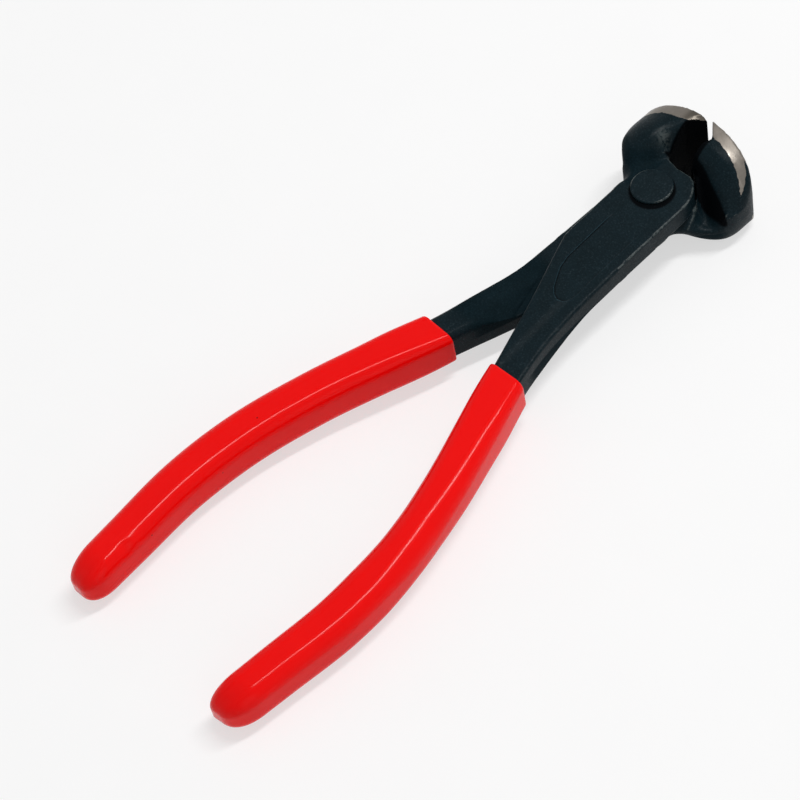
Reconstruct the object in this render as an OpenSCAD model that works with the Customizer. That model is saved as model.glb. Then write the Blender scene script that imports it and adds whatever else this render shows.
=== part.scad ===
// End cutting nippers: two forged levers crossed at a rivet, with dipped grips.
// +Y points to the cutting edges, +Z is the rivet axis, the origin is mid-length.

/* [Head] */
// Distance from the rivet axis to the cutting edges
tip_reach = 22.5; // [20:0.5:27]
// Length of the cutting edges, across the flat of the tool
edge_length = 25; // [20:0.5:30]
// Width over both jaws when they are shut
head_width = 37.5; // [34:0.5:46]
// Gap left between the cutting edges when shut
edge_gap = 0.06; // [0.04:0.02:0.3]
// Thickness left on each cutting edge
edge_land = 0.15; // [0.1:0.05:0.4]
// Width of the hollow behind the cutting edges
throat_width = 8.2; // [6:0.2:10]
// Depth of the ground bevel behind each cutting edge
bevel_depth = 3.9; // [3:0.1:5]

/* [Joint] */
// Thickness of one lever where the two lie on each other
plate_thickness = 6.2; // [5:0.1:8]
// Running gap between the two levers
lap_gap = 0.1; // [0.06:0.02:0.2]
// Radius of the boss round the rivet
boss_radius = 10.8; // [9:0.1:12]
// Clearance between a boss and the other jaw
boss_clearance = 0.5; // [0.3:0.1:1]
// Diameter of the rivet
rivet_diameter = 8; // [6:0.1:9]
// Diameter of the rivet's heads
rivet_head_diameter = 11; // [10:0.1:14]
// Height of the rivet's heads
rivet_head_height = 1.1; // [0.6:0.1:2]
// Radial clearance of the rivet in the lever that it is fixed in
rivet_seat_clearance = 0.02; // [0.01:0.01:0.04]
// Radial clearance of the rivet in the lever that turns on it
rivet_running_clearance = 0.05; // [0.03:0.01:0.08]

/* [Handles] */
// Distance from the rivet axis to the ends of the grips
handle_reach = 178; // [150:0.5:200]
// How far each handle bows out from the middle when shut
handle_bow = 23.5; // [20:0.5:30]
// Thickness of the bare handle where it enters the grip
shank_thickness = 9.6; // [8:0.1:11]
// Width of the bare handle where it enters the grip
shank_width = 8.2; // [6:0.1:9]
// Radius of the handle's long edges on the outer side
shank_edge_radius = 0.7; // [0.3:0.1:1.5]
// Radius of the handle's long edges on the side that faces the other lever
shank_back_radius = 2.4; // [0.5:0.1:4]
// Depth of the name panel, left bare
panel_depth = 0.35; // [0.2:0.05:0.8]
// Length of the name panel
panel_length = 30; // [20:0.5:34]
// Width of the name panel
panel_width = 9.6; // [7:0.1:11]

/* [Grips] */
// Distance from the rivet axis to the mouths of the grips
grip_start = 66; // [60:0.5:72]
// Width of a grip
grip_width = 11.5; // [10.5:0.1:14]
// Thickness of a grip
grip_thickness = 12.9; // [12:0.1:15]
// Radius of the grip's long edges
grip_edge_radius = 3.9; // [2:0.1:5]
// Clearance between a grip and the handle in it
grip_clearance = 0.05; // [0.03:0.01:0.1]
// Thickness of the grip's end past the handle in it
grip_end_wall = 7; // [4:0.5:12]

/* [Pose] */
// Angle between the levers at rest, from shut
rest_opening = 4.3; // [1:0.1:10]

/* [Hidden] */
$fn = 96;

// Overrun that lets a cutting shape clear the surface it cuts
overrun = 2;
// The two levers lie on each other at this height above and below the middle
lap_face = lap_gap / 2;
half_edge = edge_length / 2;
half_head = head_width / 2;
// Moves the rivet axis so that the origin is halfway along the tool
rivet_y = (handle_reach - tip_reach) / 2;

// Smallest step along Y between neighbouring rings of a shape
finest_step = 0.01;

// Smooth step from 0 to 1 as t goes from 0 to 1
function ease(t) = let (c = min(1, max(0, t))) c * c * (3 - 2 * c);

// Quarter sine from 0 to 1 as t goes from 0 to 1
function rise(t) = sin(90 * min(1, max(0, t)));

function blend(a, b, t) = a + (b - a) * t;

// Length of a ray at an angle from the middle of a unit superellipse
function squircle(angle, power) =
    pow(pow(abs(cos(angle)), power) + pow(abs(sin(angle)), power), -1 / power);

// Smooth curve through values that stand at rising places
function slope_at(places, values, i) =
    let (
        last = len(places) - 1,
        before = max(0, i - 1),
        after = min(last, i + 1)
    )
    (values[after] - values[before]) / (places[after] - places[before]);

function span_of(places, x, i = 0) =
    (i >= len(places) - 2 || x < places[i + 1]) ? i : span_of(places, x, i + 1);

function curve(places, values, x) =
    let (
        i = span_of(places, x),
        gap = places[i + 1] - places[i],
        t = min(1, max(0, (x - places[i]) / gap)),
        rest = 1 - t,
        start_slope = slope_at(places, values, i) * gap,
        end_slope = slope_at(places, values, i + 1) * gap
    )
    values[i] * rest * rest * (1 + 2 * t)
    + start_slope * t * rest * rest
    + values[i + 1] * t * t * (3 - 2 * t)
    - end_slope * t * t * rest;

// Solid skin over a row of rings that have equally many points
module skin(rings) {
    sides = len(rings[0]);
    last = len(rings) - 1;
    points = [for (ring = rings) each ring];
    walls = [
        for (r = [0 : last - 1])
            for (k = [0 : sides - 1])
                let (
                    next = (k + 1) % sides,
                    a = r * sides + k,
                    b = r * sides + next,
                    c = a + sides,
                    d = b + sides
                )
                each [[a, d, b], [a, c, d]]
    ];
    first_cap = [for (k = [0 : sides - 1]) k];
    last_cap = [for (k = [sides - 1 : -1 : 0]) last * sides + k];
    polyhedron(points, concat([first_cap], walls, [last_cap]), convexity = 8);
}

// Handle centre line, edges and faces, at shares of the handle's reach from the rivet
line_place_shares = [0.14, 0.21, 0.26, 0.31, 0.37, 0.455, 0.57, 0.68, 0.79, 0.905, 1];
line_bow_shares = [0.055, 0.14, 0.203, 0.272, 0.384, 0.574, 0.819, 0.975, 1.007, 0.912, 0.826];
arm_place_shares = [0.14, 0.21, 0.26, 0.31, 0.37, 0.43];
arm_flare_shares = [1, 0.58, 0.31, 0.13, 0.02, 0];
grip_place_shares = [0.37, 0.43, 0.5, 0.73, 0.97];
grip_width_shares = [0.97, 1, 0.985, 1, 0.92];
grip_height_shares = [0.86, 0.97, 1, 1, 0.97];

// Where the straight plate round the rivet ends and the handle starts
arm_start = line_place_shares[0] * handle_reach;
// Where the handle starts and ends growing towards the other lever's side
step_start_share = 0.19;
step_end_share = 0.32;
// Half-width of the handle at its start
arm_half_width = boss_radius * 0.85;

function line_x(reach) =
    handle_bow * curve(line_place_shares, line_bow_shares, reach / handle_reach);

// Slope of the handle's centre line
slope_step = handle_reach / 100;
function line_slope(reach) =
    (line_x(reach + slope_step) - line_x(reach - slope_step)) / (2 * slope_step);

// Width measured across the tool of something that is square to the centre line
function crosswise(width, reach) = width * sqrt(1 + pow(line_slope(reach), 2));

function arm_width(reach) =
    blend(
        shank_width / 2,
        arm_half_width,
        curve(arm_place_shares, arm_flare_shares, reach / handle_reach)
    );

function arm_top(reach) =
    blend(
        plate_thickness,
        shank_thickness / 2,
        ease((reach - arm_start) / (grip_start - arm_start))
    );

function step_grown(reach) =
    ease((reach / handle_reach - step_start_share) / (step_end_share - step_start_share));

function arm_bottom(reach) = blend(lap_face, -shank_thickness / 2, step_grown(reach));

// Ring of a rounded rectangle that stands across the tool
corner_steps = 4;
corner_share = 0.98;
function rounded_ring(reach, half_width, top, bottom, top_radius, bottom_radius) =
    let (
        middle = line_x(reach),
        largest = corner_share * min(half_width, (top - bottom) / 2),
        upper = min(top_radius, largest),
        lower = min(bottom_radius, largest),
        corners = [
            [half_width - upper, top - upper, 0, upper],
            [upper - half_width, top - upper, 90, upper],
            [lower - half_width, bottom + lower, 180, lower],
            [half_width - lower, bottom + lower, 270, lower]
        ]
    )
    [
        for (c = corners)
            for (s = [0 : corner_steps])
                let (angle = c[2] + 90 * s / corner_steps)
                [middle + c[0] + c[3] * cos(angle), -reach, c[1] + c[3] * sin(angle)]
    ];

// Bare handle, with some clearance all round for the space in its grip
arm_rings = 60;
arm_overlap_share = 0.9;
tang_reach = handle_reach - grip_end_wall;
module arm(from, to, clearance) {
    steps = ceil(arm_rings * (to - from) / tang_reach);
    skin([
        for (i = [0 : steps])
            let (reach = blend(from, to, i / steps))
            rounded_ring(
                reach,
                crosswise(arm_width(reach) + clearance, reach),
                arm_top(reach) + clearance,
                arm_bottom(reach) - clearance,
                shank_edge_radius + clearance,
                blend(shank_edge_radius, shank_back_radius, step_grown(reach)) + clearance
            )
    ]);
}

// Outline of the plate round the rivet, seen from above
waist_y = -2;
jaw_wall_y = boss_radius + boss_clearance;
throat_floor_y = boss_radius * 0.87;
throat_floor_share = 0.9;
hollow_half_width = throat_width / 2;
root_half_width = boss_radius * 0.72;
neck_half_width = boss_radius * 0.77;
neck_power = 1.1;
module plate_outline() {
    difference() {
        union() {
            intersection() {
                circle(r = boss_radius);
                translate([-root_half_width, -boss_radius])
                    square([2 * boss_radius, 2 * boss_radius]);
            }
            polygon([
                [-root_half_width, 0],
                [-arm_half_width + line_x(arm_start), -arm_start],
                [arm_half_width + line_x(arm_start), -arm_start],
                [boss_radius, 0]
            ]);
        }
        translate([-hollow_half_width * throat_floor_share, throat_floor_y])
            square([2 * boss_radius, boss_radius]);
    }
}

// Jaw outline across the tool, as forged, at places beyond the rivet axis
shoulder_y = tip_reach * 0.57;
function forged_reach_out(y) =
    blend(neck_half_width, half_head, pow(rise((y - waist_y) / (shoulder_y - waist_y)), neck_power));

// The ground dome that cuts the forged jaw off towards its edge
dome_power = 2.4;
rear_dome_power = 2.9;
function dome_reach_out(y, power) =
    let (t = min(1, max(0, (y - shoulder_y) / (tip_reach - shoulder_y))))
    blend(inner_face(y) + edge_land, half_head, pow(1 - pow(t, power), 1 / power));

// Ground bevel at the edge, then the curved hollow of the throat
bevel_y = tip_reach - bevel_depth;
bevel_share = 0.93;
hollow_turn_share = 0.85;
hollow_floor_share = 0.9;
function inner_face(y) =
    y > bevel_y
    ? blend(edge_gap / 2, hollow_half_width * bevel_share, (tip_reach - y) / bevel_depth)
    : hollow_half_width
      * blend(
          bevel_share,
          1,
          sin(180 * min(hollow_floor_share, hollow_turn_share * (bevel_y - y) / (bevel_y - waist_y / 2)))
      );

// How square the jaw is on the side of its own lever, at shares of its reach
jaw_place_shares = [0, 0.3, 0.6, 0.75, 0.9, 1];
near_powers = [3, 4, 3.4, 3.2, 3.2, 3.2];
front_square_share = 0.68;
rear_square_share = 1.5;

// Height of the jaw on the side of its own lever, and on the other side
flare_y = -tip_reach * 0.09;
flare_end_y = tip_reach * 0.54;
flare_power = 1.5;
rim_y = tip_reach * 0.76;
rim_share = 0.99;
wall_share = 0.68;
function near_height(y) =
    y > rim_y
    ? half_edge * blend(rim_share, 1, (y - rim_y) / (tip_reach - rim_y))
    : blend(plate_thickness, half_edge * rim_share, pow(rise((y - flare_y) / (flare_end_y - flare_y)), flare_power));

function near_power(y) =
    curve(jaw_place_shares, near_powers, y / tip_reach);

// The wall that faces the handles starts beside the other lever's boss and slopes up
wall_foot_y = tip_reach * 0.26;
wall_foot_share = 0.05;
function far_height(y) =
    y > rim_y
    ? half_edge * blend(rim_share, 1, (y - rim_y) / (tip_reach - rim_y))
    : y > jaw_wall_y
    ? half_edge * blend(wall_share, rim_share, rise((y - jaw_wall_y) / (rim_y - jaw_wall_y)))
    : half_edge * blend(wall_foot_share, wall_share, rise((y - wall_foot_y) / (jaw_wall_y - wall_foot_y)));

// Inner side of the far half, which leaves room for the other lever's boss
function far_inner(y) = max(inner_face(y), sqrt(max(0, pow(jaw_wall_y, 2) - pow(y, 2))));

function far_power(y) = blend(1.5, 2.1, rise((y - jaw_wall_y) / (rim_y - jaw_wall_y)));

// The other side narrows from its rim towards the wall that faces the handles
wall_width_share = 0.97;
function far_reach_out(y) =
    forged_reach_out(y) * blend(wall_width_share, 1, rise((y - jaw_wall_y) / (rim_y - jaw_wall_y)));

// The flare rises later beside the throat, so that the plate stays flat round the rivet head
foot_y = tip_reach * 0.36;
foot_run = tip_reach * 0.42;
foot_slant = 2;
function foot_dip(y, out) =
    (near_height(y) - plate_thickness)
    * (1 - ease((y - foot_y + foot_slant * (out - hollow_half_width)) / foot_run));

// Places of the rings along the jaw, closer together towards the edge
jaw_rings = 18;
end_rings = 14;
jaw_places = concat(
    [for (i = [0 : jaw_rings - 1]) blend(waist_y, shoulder_y, i / jaw_rings)],
    [
        for (i = [0 : end_rings])
            let (angle = 90 * i / end_rings)
            min(
                tip_reach,
                blend(shoulder_y, tip_reach, squircle(angle, dome_power) * sin(angle))
            )
    ]
);

section_steps = 18;

// The neck is widest a little above the lap, and its edge below that slopes in
belly_height = plate_thickness * 0.48;
belly_width_share = 0.5;
belly_start_y = tip_reach * 0.2;
function belly(y) = belly_height * (1 - ease((y - belly_start_y) / (jaw_wall_y - belly_start_y)));

// Half of the jaw on its own lever's side
function near_ring(y, square_share, near_dome) =
    let (
        inner = inner_face(y),
        wide = forged_reach_out(y) - inner,
        dome = dome_reach_out(y, near_dome) - inner,
        base = lap_face + belly(y),
        high = near_height(y) - base
    )
    concat(
        [
            for (s = [0 : section_steps])
                let (
                    angle = 90 * s / section_steps,
                    r = squircle(angle, near_power(y) * square_share),
                    across = min(dome, wide * r * cos(angle))
                )
                [
                    -inner - across,
                    y,
                    base + high * r * sin(angle) - foot_dip(y, inner + across) * ease(2 * s / section_steps)
                ]
        ],
        [
            [-inner, y, lap_face],
            [-inner - min(dome, wide) * belly_width_share, y, lap_face]
        ]
    );

// Half of the jaw on the other lever's side, with its flat side inside the near half
far_joint = 1;
joint_share = 0.96;
function far_ring(y, near_dome) =
    let (
        inner = far_inner(y),
        wide = far_reach_out(y) - inner,
        joint = far_joint + belly(y)
    )
    concat(
        [[-inner, y, joint]],
        [
            for (s = [section_steps : -1 : 0])
                let (
                    angle = 90 * s / section_steps,
                    r = squircle(angle, far_power(y)),
                    dome = dome_reach_out(y, blend(near_dome, dome_power, sin(angle))) - inner
                )
                [
                    -inner - min(dome, wide * r * cos(angle)),
                    y,
                    lap_face - (far_height(y) + lap_face) * r * sin(angle)
                ]
        ],
        [[-inner - min(dome_reach_out(y, near_dome) - inner, wide) * joint_share, y, joint]]
    );

module jaw(square_share, near_dome) {
    skin([for (y = jaw_places) near_ring(y, square_share, near_dome)]);
    far_places = [for (y = jaw_places) if (y > wall_foot_y) y];
    skin([for (y = far_places) far_ring(y, near_dome)]);
}

// Shallow panel on the outer face of the lever, with a pointed oval end
panel_start = boss_radius + panel_depth;
panel_middle_x = panel_width * 0.26;
module panel() {
    w = panel_width / 2;
    translate([panel_middle_x, -panel_start, plate_thickness - panel_depth])
        linear_extrude(plate_thickness)
            polygon([
                [-w * 0.8, 0],
                [-w, -w * 0.6],
                [-w, -panel_length * 0.62],
                [-w * 0.55, -panel_length * 0.84],
                [0, -panel_length * 0.97],
                [w * 0.35, -panel_length],
                [w * 0.8, -panel_length * 0.95],
                [w, -panel_length * 0.85],
                [w, -w * 0.6],
                [w * 0.8, 0]
            ]);
}

// Space swept by the other lever's handle when shut
space_start_share = 0.8;
module other_lever_space() {
    reach_end = step_end_share * handle_reach;
    steps = 8;
    places = [for (i = [0 : steps]) blend(arm_start * space_start_share, reach_end, i / steps)];
    outer = [for (p = places) [-line_x(p) - arm_width(p) - boss_clearance, -p]];
    inner = [
        for (i = [steps : -1 : 0])
            [-line_x(places[i]) + crosswise(arm_width(places[i]), places[i]) + boss_clearance, -places[i]]
    ];
    translate([0, 0, lap_face - shank_thickness])
        linear_extrude(shank_thickness)
            polygon(concat(outer, inner));
}

// One lever as it lies when the tool is shut: jaw to the left, handle to the right
module lever(bore_clearance, square_share, near_dome) {
    difference() {
        union() {
            translate([0, 0, lap_face])
                linear_extrude(plate_thickness - lap_face)
                    plate_outline();
            arm(arm_start * arm_overlap_share, tang_reach, 0);
            jaw(square_share, near_dome);
        }
        translate([0, 0, -overrun])
            cylinder(h = plate_thickness + 2 * overrun, r = rivet_diameter / 2 + bore_clearance);
        other_lever_space();
        panel();
    }
}

// Dipped plastic sleeve with a rounded end, hollow for the handle
grip_rings = 24;
end_steps = 6;
grip_cap = grip_thickness * 0.55;
cap_power = 2.2;
module grip() {
    body_end = handle_reach - grip_cap;
    places = concat(
        [for (i = [0 : grip_rings - 1]) blend(grip_start, body_end, i / grip_rings)],
        [for (i = [0 : end_steps]) body_end + grip_cap * sin(90 * i / end_steps)]
    );
    difference() {
        skin([
            for (reach = places)
                let (
                    t = min(1, max(0, (reach - body_end) / grip_cap)),
                    shrink = max(0.3, pow(1 - pow(t, cap_power), 1 / cap_power)),
                    share = reach / handle_reach,
                    half_width = grip_width / 2 * curve(grip_place_shares, grip_width_shares, share),
                    half_height = grip_thickness / 2 * curve(grip_place_shares, grip_height_shares, share) * shrink
                )
                rounded_ring(
                    reach,
                    crosswise(half_width, min(reach, body_end)) * shrink,
                    half_height,
                    -half_height,
                    grip_edge_radius * shrink,
                    grip_edge_radius * shrink
                )
        ]);
        arm(grip_start - overrun, tang_reach + grip_clearance, grip_clearance);
    }
}

// Turns a lever or grip from shut to its place at rest, in the front or at the rear
module in_front() {
    translate([0, rivet_y, 0])
        rotate([0, 0, rest_opening / 2])
            children();
}

module at_rear() {
    translate([0, rivet_y, 0])
        rotate([0, 0, -rest_opening / 2])
            rotate([0, 180, 0])
                children();
}

module front_lever() {
    color("#23292c")
        in_front()
            lever(rivet_seat_clearance, front_square_share, dome_power);
}

module rear_lever() {
    color("#23292c")
        at_rear()
            lever(rivet_running_clearance, rear_square_share, rear_dome_power);
}

module rivet() {
    half = plate_thickness + lap_gap / 2;
    head = rivet_head_diameter / 2;
    chamfer = rivet_head_height * 0.3;
    color("#2b3134")
        translate([0, rivet_y, 0])
            rotate_extrude()
                polygon([
                    [0, -half - rivet_head_height],
                    [head - chamfer, -half - rivet_head_height],
                    [head, -half - rivet_head_height + chamfer],
                    [head, -half],
                    [rivet_diameter / 2, -half],
                    [rivet_diameter / 2, half],
                    [head, half],
                    [head, half + rivet_head_height - chamfer],
                    [head - chamfer, half + rivet_head_height],
                    [0, half + rivet_head_height]
                ]);
}

module front_grip() {
    color("#e31212")
        in_front()
            grip();
}

module rear_grip() {
    color("#e31212")
        at_rear()
            grip();
}

front_lever();
rear_lever();
rivet();
front_grip();
rear_grip();
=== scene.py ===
# %% [markdown]
# # End cutting nippers
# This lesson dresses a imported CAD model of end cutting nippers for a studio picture.
# The tool is five pieces: two drop-forged levers, the rivet that they turn on, and two
# dipped vinyl grips. The CAD solids carry the true sizes and the joint. Here each one
# gets the skin of the real thing: scale-black forged steel, ground cutting rims and
# glossy red vinyl.

# %% Load the frame
import bpy
import math
import numpy as np
from mathutils import Matrix, Vector


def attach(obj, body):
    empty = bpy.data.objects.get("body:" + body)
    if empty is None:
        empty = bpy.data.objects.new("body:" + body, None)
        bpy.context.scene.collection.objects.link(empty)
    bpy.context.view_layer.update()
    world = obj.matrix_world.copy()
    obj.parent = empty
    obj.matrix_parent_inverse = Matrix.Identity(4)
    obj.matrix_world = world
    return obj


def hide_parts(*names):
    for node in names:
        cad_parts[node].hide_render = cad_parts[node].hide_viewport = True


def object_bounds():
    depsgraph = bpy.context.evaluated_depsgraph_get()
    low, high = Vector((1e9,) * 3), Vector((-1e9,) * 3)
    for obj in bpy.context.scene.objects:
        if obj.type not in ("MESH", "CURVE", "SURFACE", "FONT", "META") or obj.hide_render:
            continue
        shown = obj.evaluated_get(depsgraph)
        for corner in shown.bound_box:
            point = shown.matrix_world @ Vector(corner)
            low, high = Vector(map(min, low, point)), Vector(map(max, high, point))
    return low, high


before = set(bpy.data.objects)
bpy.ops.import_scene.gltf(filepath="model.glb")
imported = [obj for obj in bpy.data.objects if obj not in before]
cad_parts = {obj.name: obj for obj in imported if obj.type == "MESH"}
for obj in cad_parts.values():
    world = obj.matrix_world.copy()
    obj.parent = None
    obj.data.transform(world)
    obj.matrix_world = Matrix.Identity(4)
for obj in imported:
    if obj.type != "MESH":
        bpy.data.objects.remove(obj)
CAD_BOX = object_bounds()
MM = 0.001
scene = bpy.context.scene
print("nodes:", sorted(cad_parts), "box in mm:", [round(v / MM, 1) for c in CAD_BOX for v in c])

# %% [markdown]
# ## Sizes
# Each lever is easiest to describe in its own frame, with the tool shut: the rivet at the
# origin, the handle running down -Y and bowing to +X, and the jaw to -X. `placed` turns
# that frame into the model's, and `own` goes back. The rear lever is the front one turned
# over, so both share the same numbers.

# %% Sizes in millimetres
RIVET_Y = 77.75
HANDLE_REACH = 178.0
HANDLE_BOW = 23.5
HALF_OPENING = math.radians(4.3 / 2)
SHANK_HALF_WIDTH, SHANK_THICKNESS, ARM_HALF_WIDTH = 4.1, 9.6, 9.18
GRIP_MIDDLE = 122
# The handle's middle line: its bow to the side at places along its reach
LINE_PLACES = np.array([0.14, 0.21, 0.26, 0.31, 0.37, 0.455, 0.57, 0.68, 0.79, 0.905, 1]) * HANDLE_REACH
LINE_BOWS = np.array([0.055, 0.14, 0.203, 0.272, 0.384, 0.574, 0.819, 0.975, 1.007, 0.912, 0.826]) * HANDLE_BOW
# The arm narrows to the shank: how much of the flare is left at places along its reach
ARM_PLACES = np.array([0.14, 0.21, 0.26, 0.31, 0.37, 0.43]) * HANDLE_REACH
ARM_FLARES = np.array([1, 0.58, 0.31, 0.13, 0.02, 0])


def placement(side):
    """Matrix from a lever's own shut frame to the model, in millimetres."""
    place = Matrix.Translation((0, RIVET_Y, 0))
    if side == "front":
        return place @ Matrix.Rotation(HALF_OPENING, 4, "Z")
    return place @ Matrix.Rotation(-HALF_OPENING, 4, "Z") @ Matrix.Rotation(math.pi, 4, "Y")


def placed(points, side):
    """Points of a lever's own frame, in the model's."""
    m = np.array(placement(side))
    return points @ m[:3, :3].T + m[:3, 3]


def own(points, side):
    """Points of the model's frame, in the lever's own."""
    m = np.array(placement(side).inverted())
    return points @ m[:3, :3].T + m[:3, 3]


def smooth_curve(places, values, x):
    """Smooth curve through values at rising places, as the handles were drawn."""
    x = np.clip(np.asarray(x, float), places[0], places[-1])
    slopes = np.gradient(values, places)
    i = np.clip(np.searchsorted(places, x, side="right") - 1, 0, len(places) - 2)
    gap = places[i + 1] - places[i]
    t = (x - places[i]) / gap
    r = 1 - t
    return (values[i] * r * r * (1 + 2 * t) + slopes[i] * gap * t * r * r
            + values[i + 1] * t * t * (3 - 2 * t) - slopes[i + 1] * gap * t * t * r)


def line_x(reach):
    """Bow of the handle's middle line at a distance down from the rivet."""
    return smooth_curve(LINE_PLACES, LINE_BOWS, reach)


def arm_width(reach):
    """Half-width of the arm at a distance down from the rivet."""
    flare = smooth_curve(ARM_PLACES, ARM_FLARES, reach)
    return SHANK_HALF_WIDTH + (ARM_HALF_WIDTH - SHANK_HALF_WIDTH) * flare


print("handle bow at the middle of the grip:", round(float(line_x(GRIP_MIDDLE)), 2), "mm")

# %% [markdown]
# ## Helpers for materials
# Colours are written as the sRGB hex values that a picture shows, and one function turns
# them to the linear values that the renderer works in. One more function adds a node,
# sets its inputs and links it, so that a material reads as a list of what it is made of.

# %% Colour and node helpers
def colour(hex_code):
    """Linear colour of an sRGB hex value."""
    parts = [int(hex_code[i:i + 2], 16) / 255 for i in (1, 3, 5)]
    return tuple(p / 12.92 if p <= 0.04045 else ((p + 0.055) / 1.055) ** 2.4 for p in parts) + (1.0,)


def material(name):
    """A new material with no nodes in it yet."""
    m = bpy.data.materials.new(name)
    m.use_nodes = True
    m.node_tree.nodes.clear()
    return m


def add(m, kind, inputs=None, **settings):
    """Adds a node. An input is a value, or another node's output socket."""
    node = m.node_tree.nodes.new(kind)
    for key, value in settings.items():
        if key == "stops":
            while len(node.color_ramp.elements) < len(value):
                node.color_ramp.elements.new(0.5)
            for element, (place, tone) in zip(node.color_ramp.elements, value):
                element.position, element.color = place, tone
        else:
            setattr(node, key, value)
    for key, value in (inputs or {}).items():
        if isinstance(value, bpy.types.NodeSocket):
            m.node_tree.links.new(value, node.inputs[key])
        else:
            node.inputs[key].default_value = value
    return node


def grey(v):
    """A factor for all three colours. Above 1 it brightens."""
    return (v, v, v, 1.0)


print("the picture's grey #808080 is", round(colour("#808080")[0], 3), "in linear light")


# %% [markdown]
# ## Forged steel, blackened
# The levers are drop forged from carbon steel. The hammer dies and the shot blast leave
# a skin of fine pits over gentle waves a few millimetres long, and the black oxide bath
# turns it a cold blue-black with a dull sheen. Handling wears the black off the edges, and the lighter edges also
# stand as painted highlights.
# Another way is one flat dark colour, but then the skin looks like plastic. The cutting rim
# is ground bright afterwards. One material holds both, so that the wandering line where
# the grinder stopped can be drawn on the surface: the mesh carries, at each vertex, how
# far it lies inside the ground band, and the shader adds a ragged edge to that.

# %% Black oxide forging with a ground rim
# Sizes of the marks. The pits of the shot blast are drawn large, so that they show at this scale.
PIT, SPECK, RAGGED_EDGE, BLOTCH, WAVE = 0.42 * MM, 0.9 * MM, 1.6 * MM, 2.2 * MM, 5 * MM
DULL_SHINE, DULL_ROUGHNESS = 0.02, 0.6
# Shine of the worn edges, and how far their colour is lightened as a painted highlight
RUBBED_SHINE, HIGHLIGHT_SHARE = 0.6, 0.6
# How far the ragged edge of the ground rim wanders, in millimetres
EDGE_SWING = 1.3


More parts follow.
